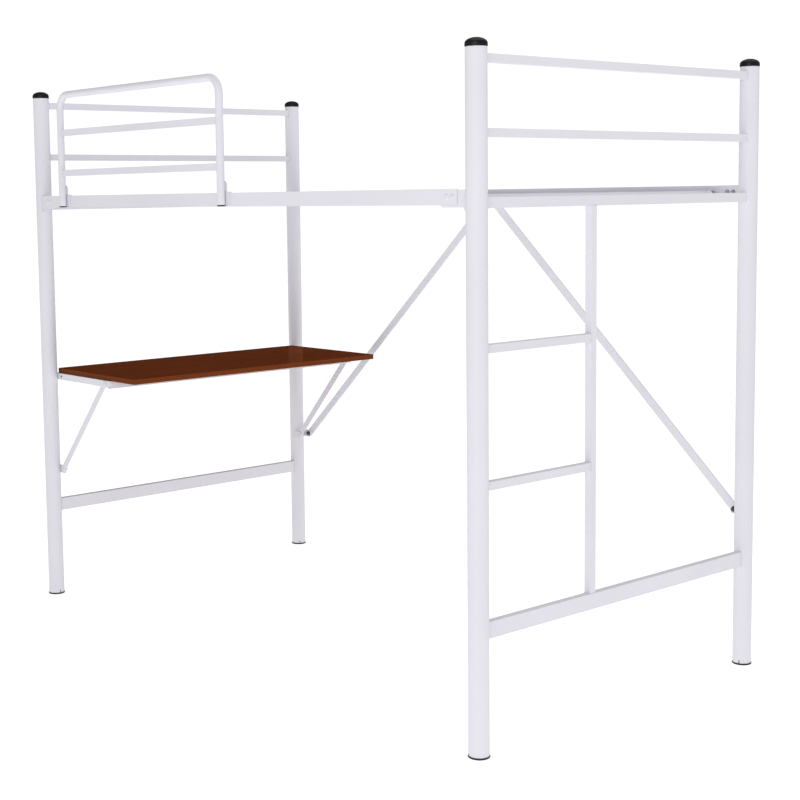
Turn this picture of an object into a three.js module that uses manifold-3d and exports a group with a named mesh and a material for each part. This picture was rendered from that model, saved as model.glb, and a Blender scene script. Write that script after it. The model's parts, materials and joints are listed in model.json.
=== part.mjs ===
// A loft bed with a desk: a powder-coated steel frame on four round posts, with a fixed desk under one end,
// a ladder in the other end and a guard that lifts off the open side.
// Millimetres, +Z up. X runs along the bed from the desk end (-X) to the ladder end (+X).
// The open side, with the guard, is -Y, and the braced side is +Y. The feet stand on Z = 0.
import * as THREE from 'three';
import { mergeVertices } from 'three/addons/utils/BufferGeometryUtils.js';
import Module from 'manifold-3d';

const wasm = await Module();
wasm.setup();

// Clearance left between pieces that touch.
const GAP = 0.3;

// Posts, measured between their centres.
const POST_SPAN_X = 1980;
const POST_SPAN_Y = 1050;
const POST_TOP = 1650;
const POST_RADIUS = 25.4;
const POST_WALL = 1.5;
const POST_SEGMENTS = 32;

// Plastic cap and foot of each post.
const CAP_RADIUS = 26.4;
const CAP_RIM = 8;
const CAP_DOME = 13.5;
const FOOT_RADIUS = 26.9;
const FOOT_THICKNESS = 4.5;
const PLUG_DEPTH = 16;
const NOTCH_WIDTH = 2.5;
const NOTCH_HEIGHT = 9;

// Rectangular tubes of the two end frames: height, depth and height of the centre line above the floor.
const TUBE_WALL = 1.2;
const END_RAIL_DEPTH = 20;
const END_RAILS = {
  top_rail: { height: 20, z: 1626.5 },
  middle_rail: { height: 20, z: 1459 },
  bed_crossbar: { height: 25, z: 1300 },
  lower_crossbar: { height: 40, z: 301 },
};

// Ladder: one stile and two rungs between it and the near post.
const STILE_Y = -127;
const STILE_SIZE = 20;
const RUNG_SIZE = 20;
const RUNG_HEIGHTS = { lower: 643.5, upper: 964.5 };

// Side rails: steel angles whose flange carries the slats.
const RAIL_OUTER_Y = 546;
const RAIL_THICKNESS = 2.5;
const RAIL_BOTTOM = 1295;
const RAIL_HEIGHT = 38;
const RAIL_FLANGE = 38;
const RAIL_HALF_LENGTH = 947;
const RAIL_FLANGE_HALF_LENGTH = 884;
const RAIL_FLANGE_MITRE = 20;

// Brackets that join the side rails to the posts.
const BRACKET_THICKNESS = 3;
const BRACKET_END_X = 886;
const BRACKET_BOTTOM = 1290;
const BRACKET_TOP = 1331;
const BRACKET_TOE_X = 964;
const BRACKET_TOE_DROP = 13;
const BRACKET_CHAMFER = 10;
const RAIL_BOLTS_X = [913, 932];
const RAIL_BOLT_Z = 1314;

// Bolts and their holes.
const BOLT_HOLE_RADIUS = 4.5;
const BOLT_RADIUS = 4;
const BOLT_HEAD_RADIUS = 7;
const BOLT_HEAD_HEIGHT = 4;
const NUT_RADIUS = 7.5;
const NUT_HEIGHT = 6.5;
const HOLE_SEGMENTS = 8;

// Mattress base: two long bars lying on the rails' flanges, with slats between them.
const BASE_HEIGHT = 21.7;
const BASE_BAR_WIDTH = 20;
const BASE_BAR_OUTER_Y = 531;
const BASE_BAR_HALF_LENGTH = 900;
const SLAT_COUNT = 7;
const SLAT_WIDTH = 50;
const SLAT_SPAN = 1690;

// Braces of the far side, from the middle of the side rail down to a tab on each far post.
const BRACE_WIDTH = 25;
const BRACE_THICKNESS = 5;
const BRACE_APEX_Z = 1306;
const BRACE_FOOT_X = 942;
const BRACE_FOOT_Z = 427;

// Tabs on the posts that the braces, struts and arms bolt to.
const TAB_THICKNESS = 3;
const TAB_HALF_HEIGHT = 13;
const TAB_REACH = 12;
const TAB_CORNER = 6;
const TAB_ROOT = 12;

// Desk: a board on two angle arms, a front bar and two struts.
const DESK_TOP = 762;
const DESK_THICKNESS = 16;
const DESK_BACK_X = -982;
const DESK_FRONT_X = -515;
const DESK_HALF_WIDTH = 498.5;
const DESK_CORNER = 8;
const ARM_OUTER_Y = 505;
const ARM_THICKNESS = 3;
const ARM_HEIGHT = 20;
const ARM_FLANGE = 24;
const ARM_FRONT_X = -646;
const ARM_BOLT = { x: -948, z: 736 };
const DESK_BAR_SIZE = 20;
const STRUT_WIDTH = 22;
const STRUT_THICKNESS = 3;
const STRUT_TOP = { x: -676, z: 733 };
const STRUT_FOOT = { x: -951, z: 424 };
const DESK_BOLT_RADIUS = 3.3;

// Guard: a bent tube with two bars, hooked over the near side rail.
const GUARD_LEFT_X = -807;
const GUARD_RIGHT_X = 50;
const GUARD_TOP = 1648;
const GUARD_FOOT = 1296;
const GUARD_TUBE_RADIUS = 11;
const GUARD_TUBE_WALL = 1.2;
const GUARD_BEND = 46;
const GUARD_BEND_STEPS = 6;
const GUARD_TUBE_SEGMENTS = 16;
const GUARD_BARS = { upper: 1530, lower: 1404 };
const GUARD_BAR_HEIGHT = 20;
const GUARD_BAR_DEPTH = 10;
const GUARD_PLUG_FLANGE = 3.5;
const GUARD_PLUG_DEPTH = 12;
const HOOK_WIDTH = 45;
const HOOK_THICKNESS = 2.5;
const HOOK_BOTTOM = 1300;
const HOOK_DEPTH = 30;
const HOOK_TAB_WIDTH = 24;
const HOOK_TAB_TOP = 1365;
const HOOK_TAB_CHAMFER = 8;

// Worked out from the sizes above.
const POST_X = POST_SPAN_X / 2;
const POST_Y = POST_SPAN_Y / 2;
const POST_BORE = POST_RADIUS - POST_WALL;
const RAIL_TOP = RAIL_BOTTOM + RAIL_HEIGHT;
const RAIL_INNER_Y = RAIL_OUTER_Y - RAIL_THICKNESS;
const DESK_UNDERSIDE = DESK_TOP - DESK_THICKNESS;
const ARM_TOP = DESK_UNDERSIDE - GAP;
const HOOK_OUTER_Y = RAIL_OUTER_Y + GAP + HOOK_THICKNESS;
const GUARD_Y = -(HOOK_OUTER_Y + GAP + GUARD_TUBE_RADIUS);
const BRACE_OUTER_Y = RAIL_OUTER_Y + 2 * (GAP + BRACE_THICKNESS);
const APEX_BOLT_OUTER_Y = BRACE_OUTER_Y + GAP + BOLT_HEAD_HEIGHT;
const GUARD_OUTER_Y = GUARD_Y - GUARD_TUBE_RADIUS;

const FINISHES = {
  white_steel: { color: 0xe2e1e8, roughness: 0.45, metalness: 0.1 },
  black_plastic: { color: 0x141415, roughness: 0.4, metalness: 0.0 },
  brown_board: { color: 0x54260f, roughness: 0.35, metalness: 0.0 },
  plated_steel: { color: 0x9a9a9c, roughness: 0.35, metalness: 0.9 },
  grey_steel: { color: 0xc2c1c6, roughness: 0.5, metalness: 0.1 },
};

const bed = new THREE.Group();

// ---- Building blocks -------------------------------------------------------------------------------------

function addPiece(name, geometry, finish, [x, y, z] = [0, 0, 0]) {
  const mesh = new THREE.Mesh(geometry, new THREE.MeshStandardMaterial(FINISHES[finish]));
  mesh.name = name;
  mesh.position.set(x, y, z);
  bed.add(mesh);
  return mesh;
}

function toSolid(geometry) {
  const bare = geometry.clone();
  bare.deleteAttribute('normal');
  bare.deleteAttribute('uv');
  const merged = mergeVertices(bare, 1e-4);
  return new wasm.Manifold(new wasm.Mesh({
    numProp: 3,
    vertProperties: new Float32Array(merged.attributes.position.array),
    triVerts: new Uint32Array(merged.index.array),
  }));
}

function toGeometry(solid) {
  const mesh = solid.getMesh();
  const geometry = new THREE.BufferGeometry();
  geometry.setAttribute('position', new THREE.BufferAttribute(mesh.vertProperties, 3));
  geometry.setIndex(new THREE.BufferAttribute(mesh.triVerts, 1));
  geometry.computeVertexNormals();
  return geometry;
}

function cut(geometry, ...cutters) {
  return toGeometry(cutters.reduce((solid, cutter) => solid.subtract(toSolid(cutter)), toSolid(geometry)));
}

function join(geometry, ...others) {
  return toGeometry(others.reduce((solid, other) => solid.add(toSolid(other)), toSolid(geometry)));
}

// A box between two opposite corners.
function block([x0, y0, z0], [x1, y1, z1]) {
  const geometry = new THREE.BoxGeometry(x1 - x0, y1 - y0, z1 - z0);
  return geometry.translate((x0 + x1) / 2, (y0 + y1) / 2, (z0 + z1) / 2);
}

// A round bar or tube along Z, from z0 to z1.
function roundTube(radius, bore, z0, z1, segments) {
  const shape = new THREE.Shape().absarc(0, 0, radius, 0, 2 * Math.PI);
  if (bore > 0) {
    shape.holes.push(new THREE.Path().absarc(0, 0, bore, 0, 2 * Math.PI));
  }
  const geometry = new THREE.ExtrudeGeometry(shape, {
    depth: z1 - z0, bevelEnabled: false, curveSegments: segments / 2,
  });
  return geometry.translate(0, 0, z0);
}

// A round bar along Y, centred on (x, z), from y0 to y1.
function crossPin(radius, x, z, y0, y1, segments) {
  return roundTube(radius, 0, 0, y1 - y0, segments).rotateX(-Math.PI / 2).translate(x, y0, z);
}

function rectangle(width, height) {
  const shape = new THREE.Shape();
  shape.moveTo(-width / 2, -height / 2);
  shape.lineTo(width / 2, -height / 2);
  shape.lineTo(width / 2, height / 2);
  shape.lineTo(-width / 2, height / 2);
  shape.closePath();
  return shape;
}

// A rectangular tube along Y: width is along X and height along Z.
function rectangularTubeY(width, height, wall, y0, y1) {
  const shape = rectangle(width, height);
  shape.holes.push(rectangle(width - 2 * wall, height - 2 * wall));
  const geometry = new THREE.ExtrudeGeometry(shape, { depth: y1 - y0, bevelEnabled: false });
  return geometry.rotateX(Math.PI / 2).translate(0, y1, 0);
}

function outline(points) {
  return new THREE.Shape(points.map(([u, v]) => new THREE.Vector2(u, v)));
}

function drill(shape, holes, radius) {
  holes.forEach(([u, v]) => {
    shape.holes.push(new THREE.Path().absarc(u, v, radius, 0, 2 * Math.PI));
  });
  return shape;
}

// A plate whose outline lies in the XZ plane, between two Y planes.
function plateXZ(shape, y0, y1) {
  const [low, high] = [Math.min(y0, y1), Math.max(y0, y1)];
  const geometry = new THREE.ExtrudeGeometry(shape, {
    depth: high - low, bevelEnabled: false, curveSegments: HOLE_SEGMENTS,
  });
  return geometry.rotateX(Math.PI / 2).translate(0, high, 0);
}

// A plate whose outline lies in the XY plane, between two heights.
function plateXY(shape, z0, z1) {
  const geometry = new THREE.ExtrudeGeometry(shape, {
    depth: z1 - z0, bevelEnabled: false, curveSegments: 4,
  });
  return geometry.translate(0, 0, z0);
}

// The round cutter that shapes a piece's end to the post it meets.
function postCutter(x, y, z0, z1) {
  return roundTube(POST_RADIUS + GAP, 0, z0, z1, POST_SEGMENTS).translate(x, y, 0);
}

// ---- Posts, caps and feet --------------------------------------------------------------------------------

// The tube, with the locating notch for its foot, turned towards notchAngle.
function postGeometry(notchAngle) {
  const bottom = FOOT_THICKNESS + GAP;
  const tube = roundTube(POST_RADIUS, POST_BORE, bottom, POST_TOP, POST_SEGMENTS);
  const notch = block([0, -NOTCH_WIDTH / 2, bottom - 1], [POST_RADIUS + 5, NOTCH_WIDTH / 2, bottom + NOTCH_HEIGHT]);
  return cut(tube, notch.rotateZ(notchAngle));
}

// Domed cap with a spigot that plugs the tube. Its own zero is the top of the tube.
function capGeometry() {
  const spigot = POST_BORE - GAP;
  const profile = [[0, -PLUG_DEPTH], [spigot, -PLUG_DEPTH], [spigot, GAP], [CAP_RADIUS, GAP]];
  const domeSteps = 5;
  for (let i = 0; i < domeSteps; i += 1) {
    const angle = (i / domeSteps) * (Math.PI / 2);
    profile.push([CAP_RADIUS * Math.cos(angle), CAP_RIM + CAP_DOME * Math.sin(angle)]);
  }
  profile.push([0, CAP_RIM + CAP_DOME]);
  return latheZ(profile, 24);
}

// Foot with a flange under the tube and a spigot inside it.
function footGeometry() {
  const spigot = POST_BORE - GAP;
  const profile = [
    [0, 0], [FOOT_RADIUS - 1, 0], [FOOT_RADIUS, 1], [FOOT_RADIUS, FOOT_THICKNESS],
    [spigot, FOOT_THICKNESS], [spigot, FOOT_THICKNESS + PLUG_DEPTH], [0, FOOT_THICKNESS + PLUG_DEPTH],
  ];
  return latheZ(profile, 24);
}

// A turned solid about Z from a profile of [radius, height] points that starts and ends on the axis.
function latheZ(profile, segments) {
  const points = profile.map(([radius, height]) => new THREE.Vector2(radius, height));
  return new THREE.LatheGeometry(points, segments).rotateX(Math.PI / 2);
}

function addPosts() {
  const corners = [
    { name: 'near_left', x: -POST_X, y: -POST_Y, notch: 0 },
    { name: 'near_right', x: POST_X, y: -POST_Y, notch: Math.PI / 2 },
    { name: 'far_left', x: -POST_X, y: POST_Y, notch: -Math.PI / 6 },
    { name: 'far_right', x: POST_X, y: POST_Y, notch: -Math.PI * 0.4 },
  ];
  corners.forEach(({ name, x, y, notch }) => {
    addPiece(`post_${name}`, postGeometry(notch), 'white_steel', [x, y, 0]);
    addPiece(`cap_${name}`, capGeometry(), 'black_plastic', [x, y, POST_TOP]);
    addPiece(`foot_${name}`, footGeometry(), 'black_plastic', [x, y, 0]);
  });
}

// ---- End frames and ladder -------------------------------------------------------------------------------

// A rail between the two posts of one end, with its ends shaped to the posts.
function endRailGeometry(height) {
  const tube = rectangularTubeY(END_RAIL_DEPTH, height, TUBE_WALL, -POST_Y, POST_Y);
  return cut(tube, postCutter(0, -POST_Y, -height, height), postCutter(0, POST_Y, -height, height));
}

function addEndFrames() {
  [['left', -POST_X], ['right', POST_X]].forEach(([end, x]) => {
    Object.entries(END_RAILS).forEach(([name, { height, z }]) => {
      addPiece(`${end}_${name}`, endRailGeometry(height), 'white_steel', [x, 0, z]);
    });
  });
}

function addLadder() {
  const bottom = END_RAILS.lower_crossbar.z + END_RAILS.lower_crossbar.height / 2 + GAP;
  const top = END_RAILS.bed_crossbar.z - END_RAILS.bed_crossbar.height / 2 - GAP;
  const stile = rectangularTubeY(STILE_SIZE, STILE_SIZE, TUBE_WALL, 0, top - bottom).rotateX(Math.PI / 2);
  addPiece('ladder_stile', stile, 'white_steel', [POST_X, STILE_Y, bottom]);
  const rungEnd = STILE_Y - STILE_SIZE / 2 - GAP;
  Object.entries(RUNG_HEIGHTS).forEach(([name, z]) => {
    const tube = rectangularTubeY(RUNG_SIZE, RUNG_SIZE, TUBE_WALL, -POST_Y, rungEnd);
    const rung = cut(tube, postCutter(0, -POST_Y, -RUNG_SIZE, RUNG_SIZE));
    addPiece(`ladder_rung_${name}`, rung, 'white_steel', [POST_X, 0, z]);
  });
}

// ---- Side rails, brackets and mattress base ----------------------------------------------------------------------

// One side rail. side is -1 for the near side and 1 for the far side.
function sideRailGeometry(side, extraHoles) {
  const web = outline([
    [-RAIL_HALF_LENGTH, RAIL_BOTTOM], [RAIL_HALF_LENGTH, RAIL_BOTTOM],
    [RAIL_HALF_LENGTH, RAIL_TOP], [-RAIL_HALF_LENGTH, RAIL_TOP],
  ]);
  const boltHoles = RAIL_BOLTS_X.flatMap((x) => [[-x, RAIL_BOLT_Z], [x, RAIL_BOLT_Z]]);
  drill(web, [...boltHoles, ...extraHoles], BOLT_HOLE_RADIUS);
  const lip = RAIL_FLANGE_HALF_LENGTH - RAIL_FLANGE_MITRE;
  const lipY = side * (RAIL_OUTER_Y - RAIL_FLANGE);
  const rootY = side * (RAIL_INNER_Y + RAIL_THICKNESS / 2);
  const flange = outline([
    [-RAIL_FLANGE_HALF_LENGTH, rootY], [RAIL_FLANGE_HALF_LENGTH, rootY], [lip, lipY], [-lip, lipY],
  ]);
  return join(
    plateXZ(web, side * RAIL_INNER_Y, side * RAIL_OUTER_Y),
    plateXY(flange, RAIL_BOTTOM, RAIL_BOTTOM + RAIL_THICKNESS),
  );
}

// The bracket welded to one post: a web inside the rail's web, a toe down the post and a small flange.
function railBracketGeometry(end, side) {
  const webOuter = RAIL_INNER_Y - GAP;
  const webInner = webOuter - BRACKET_THICKNESS;
  const web = outline([
    [POST_X, BRACKET_TOP], [BRACKET_END_X, BRACKET_TOP], [BRACKET_END_X, BRACKET_BOTTOM + BRACKET_CHAMFER],
    [BRACKET_END_X + BRACKET_CHAMFER, BRACKET_BOTTOM], [BRACKET_TOE_X, BRACKET_BOTTOM],
    [BRACKET_TOE_X + BRACKET_CHAMFER, BRACKET_BOTTOM - BRACKET_TOE_DROP],
    [POST_X, BRACKET_BOTTOM - BRACKET_TOE_DROP],
  ].map(([x, z]) => [end * x, z]));
  drill(web, RAIL_BOLTS_X.map((x) => [end * x, RAIL_BOLT_Z]), BOLT_HOLE_RADIUS);
  const flangeFrom = BRACKET_END_X + BRACKET_CHAMFER;
  const flangeInner = RAIL_OUTER_Y - RAIL_FLANGE;
  const flangeX = [end * flangeFrom, end * BRACKET_TOE_X].sort((a, b) => a - b);
  const flangeY = [side * flangeInner, side * (webOuter - GAP)].sort((a, b) => a - b);
  const flange = block(
    [flangeX[0], flangeY[0], BRACKET_BOTTOM],
    [flangeX[1], flangeY[1], BRACKET_BOTTOM + BRACKET_THICKNESS],
  );
  const body = join(plateXZ(web, side * webInner, side * webOuter), flange);
  const cutter = postCutter(end * POST_X, side * POST_Y, BRACKET_BOTTOM - 50, BRACKET_TOP + 50);
  const farHalf = block([POST_X, -50, BRACKET_BOTTOM - 50], [POST_X + 1, 50, BRACKET_TOP + 50]);
  return cut(body, cutter, farHalf.translate(end < 0 ? -2 * POST_X - 1 : 0, side * POST_Y, 0));
}

function addSideRails() {
  const apexHole = [[0, BRACE_APEX_Z]];
  addPiece('side_rail_near', sideRailGeometry(-1, []), 'white_steel');
  addPiece('side_rail_far', sideRailGeometry(1, apexHole), 'white_steel');
  [['left', -1], ['right', 1]].forEach(([endName, end]) => {
    [['near', -1], ['far', 1]].forEach(([sideName, side]) => {
      addPiece(`rail_bracket_${sideName}_${endName}`, railBracketGeometry(end, side), 'white_steel');
    });
  });
}

// A long bar of the base, whose ends slope back at 45 degrees from their lower edge.
function baseBarGeometry() {
  const half = BASE_BAR_HALF_LENGTH;
  const tube = rectangularTubeY(BASE_BAR_WIDTH, BASE_HEIGHT, TUBE_WALL, -half, half).rotateZ(Math.PI / 2);
  const cutters = [-1, 1].map((end) => plateXZ(outline([
    [end * (half - BASE_HEIGHT - 1), BASE_HEIGHT / 2 + 1],
    [end * (half + 5), -BASE_HEIGHT / 2 - 5],
    [end * (half + 5), BASE_HEIGHT / 2 + 1],
  ]), -BASE_BAR_WIDTH, BASE_BAR_WIDTH));
  return cut(tube, ...cutters);
}

// The mattress base, lying on the flanges of the side rails.
function addMattressBase() {
  const z = RAIL_BOTTOM + RAIL_THICKNESS + GAP + BASE_HEIGHT / 2;
  [['near', -1], ['far', 1]].forEach(([name, side]) => {
    const y = side * (BASE_BAR_OUTER_Y - BASE_BAR_WIDTH / 2);
    addPiece(`mattress_base_bar_${name}`, baseBarGeometry(), 'grey_steel', [0, y, z]);
  });
  const slatEnd = BASE_BAR_OUTER_Y - BASE_BAR_WIDTH - GAP;
  for (let i = 0; i < SLAT_COUNT; i += 1) {
    const x = -SLAT_SPAN / 2 + (i * SLAT_SPAN) / (SLAT_COUNT - 1);
    const slat = rectangularTubeY(SLAT_WIDTH, BASE_HEIGHT, TUBE_WALL, -slatEnd, slatEnd);
    addPiece(`slat_${i + 1}`, slat, 'grey_steel', [x, 0, z]);
  }
}

// ---- Flat bars with round ends, for the braces and struts ------------------------------------------------

// A bar of the given width between two hole centres, lying in the XZ plane with its first hole at the origin
// and its length along X. It has a round end past each hole.
function barOutline(length, width, holeRadius) {
  const r = width / 2;
  const shape = new THREE.Shape();
  shape.moveTo(0, -r);
  shape.lineTo(length, -r);
  shape.absarc(length, 0, r, -Math.PI / 2, Math.PI / 2);
  shape.lineTo(0, r);
  shape.absarc(0, 0, r, Math.PI / 2, (3 * Math.PI) / 2);
  return drill(shape, [[0, 0], [length, 0]], holeRadius);
}

// Turns a bar built along X so that it runs from one point to another in its XZ plane.
function placeBar(mesh, from, to) {
  mesh.position.set(from.x, mesh.position.y, from.z);
  mesh.rotation.y = -Math.atan2(to.z - from.z, to.x - from.x);
}

// A tab welded to a post: it reaches past a hole and is shaped to the post at the other end. end and side say
// which post, and outerY is how far out its outer face is.
function tabGeometry(end, side, hole, outerY, holeRadius) {
  const tip = hole.x - end * TAB_REACH;
  const inner = tip + end * TAB_CORNER;
  const root = end * (POST_X - TAB_ROOT);
  const shape = outline([
    [root, hole.z - TAB_HALF_HEIGHT], [root, hole.z + TAB_HALF_HEIGHT],
    [inner, hole.z + TAB_HALF_HEIGHT], [tip, hole.z + TAB_HALF_HEIGHT - TAB_CORNER],
    [tip, hole.z - TAB_HALF_HEIGHT + TAB_CORNER], [inner, hole.z - TAB_HALF_HEIGHT],
  ]);
  drill(shape, [[hole.x, hole.z]], holeRadius);
  const plate = plateXZ(shape, side * (outerY - TAB_THICKNESS), side * outerY);
  const reach = 2 * TAB_HALF_HEIGHT;
  return cut(plate, postCutter(end * POST_X, side * POST_Y, hole.z - reach, hole.z + reach));
}

// ---- Braces of the far side ------------------------------------------------------------------------------

function addBraces() {
  const apex = { x: 0, z: BRACE_APEX_Z };
  [['left', -1, 0], ['right', 1, 1]].forEach(([name, end, layer]) => {
    const foot = { x: end * BRACE_FOOT_X, z: BRACE_FOOT_Z };
    const length = Math.hypot(apex.x - foot.x, apex.z - foot.z);
    const y0 = RAIL_OUTER_Y + GAP + layer * (BRACE_THICKNESS + GAP);
    const bar = plateXZ(barOutline(length, BRACE_WIDTH, BOLT_HOLE_RADIUS), y0, y0 + BRACE_THICKNESS);
    placeBar(addPiece(`brace_${name}`, bar, 'white_steel'), foot, apex);
    addPiece(`brace_tab_${name}`, tabGeometry(end, 1, foot, y0 - GAP, BOLT_HOLE_RADIUS), 'white_steel');
  });
}

// The bolt that clamps both braces to the far side rail, with its nut inside.
function addApexBolt() {
  const headFace = BRACE_OUTER_Y + GAP;
  const nutFace = RAIL_INNER_Y - GAP;
  const shank = crossPin(BOLT_RADIUS, 0, BRACE_APEX_Z, nutFace - NUT_HEIGHT - 2, headFace + 1, 16);
  const head = crossPin(BOLT_HEAD_RADIUS, 0, BRACE_APEX_Z, headFace, APEX_BOLT_OUTER_Y, 16);
  const nut = crossPin(NUT_RADIUS, 0, BRACE_APEX_Z, nutFace - NUT_HEIGHT, nutFace, 6);
  addPiece('brace_apex_bolt', join(shank, head, nut), 'plated_steel');
}

// ---- Desk ------------------------------------------------------------------------------------------------

function deskBoardGeometry() {
  const r = DESK_CORNER;
  const [x0, x1] = [DESK_BACK_X, DESK_FRONT_X];
  const [y0, y1] = [-DESK_HALF_WIDTH, DESK_HALF_WIDTH];
  const shape = new THREE.Shape();
  shape.moveTo(x0 + r, y0);
  shape.lineTo(x1 - r, y0);
  shape.absarc(x1 - r, y0 + r, r, -Math.PI / 2, 0);
  shape.lineTo(x1, y1 - r);
  shape.absarc(x1 - r, y1 - r, r, 0, Math.PI / 2);
  shape.lineTo(x0 + r, y1);
  shape.absarc(x0 + r, y1 - r, r, Math.PI / 2, Math.PI);
  shape.lineTo(x0, y0 + r);
  shape.absarc(x0 + r, y0 + r, r, Math.PI, (3 * Math.PI) / 2);
  return plateXY(shape, DESK_UNDERSIDE, DESK_TOP);
}

// An angle arm that carries one end of the board. side is -1 for the near arm and 1 for the far arm.
function deskArmGeometry(side) {
  const inner = ARM_OUTER_Y - ARM_THICKNESS;
  const web = outline([
    [-POST_X, ARM_TOP - ARM_HEIGHT], [ARM_FRONT_X, ARM_TOP - ARM_HEIGHT],
    [ARM_FRONT_X, ARM_TOP], [-POST_X, ARM_TOP],
  ]);
  drill(web, [[ARM_BOLT.x, ARM_BOLT.z], [STRUT_TOP.x, STRUT_TOP.z]], DESK_BOLT_RADIUS);
  const flangeY = [side * (ARM_OUTER_Y - ARM_FLANGE), side * (inner + ARM_THICKNESS / 2)].sort((a, b) => a - b);
  const flange = block([-POST_X, flangeY[0], ARM_TOP - ARM_THICKNESS], [ARM_FRONT_X, flangeY[1], ARM_TOP]);
  const body = join(plateXZ(web, side * inner, side * ARM_OUTER_Y), flange);
  return cut(body, postCutter(-POST_X, side * POST_Y, ARM_TOP - 50, ARM_TOP + 50));
}

// The tab inside the arm, on the post, that the arm bolts to.
function armTabGeometry(side) {
  const y1 = ARM_OUTER_Y - ARM_THICKNESS - GAP;
  const y0 = y1 - TAB_THICKNESS;
  const top = ARM_TOP - ARM_THICKNESS - GAP;
  const bottom = ARM_TOP - ARM_HEIGHT;
  const tip = ARM_BOLT.x + TAB_REACH;
  const root = -POST_X + TAB_ROOT;
  const shape = drill(
    outline([[root, bottom], [tip, bottom], [tip, top], [root, top]]),
    [[ARM_BOLT.x, ARM_BOLT.z]], DESK_BOLT_RADIUS,
  );
  return cut(plateXZ(shape, side * y0, side * y1), postCutter(-POST_X, side * POST_Y, bottom - 50, top + 50));
}

function addDesk() {
  addPiece('desk_board', deskBoardGeometry(), 'brown_board');
  [['near', -1], ['far', 1]].forEach(([name, side]) => {
    addPiece(`desk_arm_${name}`, deskArmGeometry(side), 'white_steel');
    addPiece(`desk_arm_tab_${name}`, armTabGeometry(side), 'white_steel');
    const length = Math.hypot(STRUT_TOP.x - STRUT_FOOT.x, STRUT_TOP.z - STRUT_FOOT.z);
    const y0 = ARM_OUTER_Y + GAP;
    const bar = plateXZ(barOutline(length, STRUT_WIDTH, DESK_BOLT_RADIUS), side * y0, side * (y0 + STRUT_THICKNESS));
    placeBar(addPiece(`desk_strut_${name}`, bar, 'white_steel'), STRUT_FOOT, STRUT_TOP);
    const tab = tabGeometry(-1, side, STRUT_FOOT, ARM_OUTER_Y, DESK_BOLT_RADIUS);
    addPiece(`desk_strut_tab_${name}`, tab, 'white_steel');
  });
  const barEnd = ARM_OUTER_Y - ARM_THICKNESS - GAP;
  const barTop = ARM_TOP - ARM_THICKNESS - GAP;
  const frontBar = rectangularTubeY(DESK_BAR_SIZE, DESK_BAR_SIZE, TUBE_WALL, -barEnd, barEnd);
  const barX = ARM_FRONT_X - DESK_BAR_SIZE / 2;
  addPiece('desk_front_bar', frontBar, 'white_steel', [barX, 0, barTop - DESK_BAR_SIZE / 2]);
}

// ---- Guard -----------------------------------------------------------------------------------------------

// A path through given points whose steps fall exactly on those points.
class StationPath extends THREE.Curve {
  constructor(points) {
    super();
    this.points = points;
  }

  getPoint(t, target = new THREE.Vector3()) {
    const place = Math.min(Math.max(t, 0), 1) * (this.points.length - 1);
    const index = Math.min(Math.floor(place), this.points.length - 2);
    return target.lerpVectors(this.points[index], this.points[index + 1], place - index);
  }

  getUtoTmapping(u) {
    return u;
  }
}

// The bent tube of the guard: up the left leg, along the top and down the right leg.
function guardHoopGeometry() {
  const legStart = GUARD_FOOT + GUARD_PLUG_FLANGE + GAP;
  const points = [new THREE.Vector3(GUARD_LEFT_X, GUARD_Y, legStart)];
  const bends = [
    { x: GUARD_LEFT_X + GUARD_BEND, from: Math.PI },
    { x: GUARD_RIGHT_X - GUARD_BEND, from: Math.PI / 2 },
  ];
  bends.forEach(({ x, from }) => {
    for (let i = 0; i <= GUARD_BEND_STEPS; i += 1) {
      const angle = from - (i / GUARD_BEND_STEPS) * (Math.PI / 2);
      const z = GUARD_TOP - GUARD_BEND + GUARD_BEND * Math.sin(angle);
      points.push(new THREE.Vector3(x + GUARD_BEND * Math.cos(angle), GUARD_Y, z));
    }
  });
  points.push(new THREE.Vector3(GUARD_RIGHT_X, GUARD_Y, legStart));
  const section = new THREE.Shape().absarc(0, 0, GUARD_TUBE_RADIUS, 0, 2 * Math.PI);
  section.holes.push(new THREE.Path().absarc(0, 0, GUARD_TUBE_RADIUS - GUARD_TUBE_WALL, 0, 2 * Math.PI));
  return new THREE.ExtrudeGeometry(section, {
    steps: points.length - 1, extrudePath: new StationPath(points), curveSegments: GUARD_TUBE_SEGMENTS / 2,
  });
}

// A flat tube between the legs, with its ends shaped to them.
function guardBarGeometry() {
  const shape = rectangle(GUARD_BAR_DEPTH, GUARD_BAR_HEIGHT);
  shape.holes.push(rectangle(GUARD_BAR_DEPTH - 2 * TUBE_WALL, GUARD_BAR_HEIGHT - 2 * TUBE_WALL));
  const length = GUARD_RIGHT_X - GUARD_LEFT_X;
  const tube = new THREE.ExtrudeGeometry(shape, { depth: length, bevelEnabled: false });
  tube.rotateX(Math.PI / 2).rotateZ(Math.PI / 2);
  const radius = GUARD_TUBE_RADIUS + GAP;
  const reach = GUARD_BAR_HEIGHT;
  const cutters = [0, length].map((x) => roundTube(radius, 0, -reach, reach, GUARD_TUBE_SEGMENTS).translate(x, 0, 0));
  return cut(tube, ...cutters);
}

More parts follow.
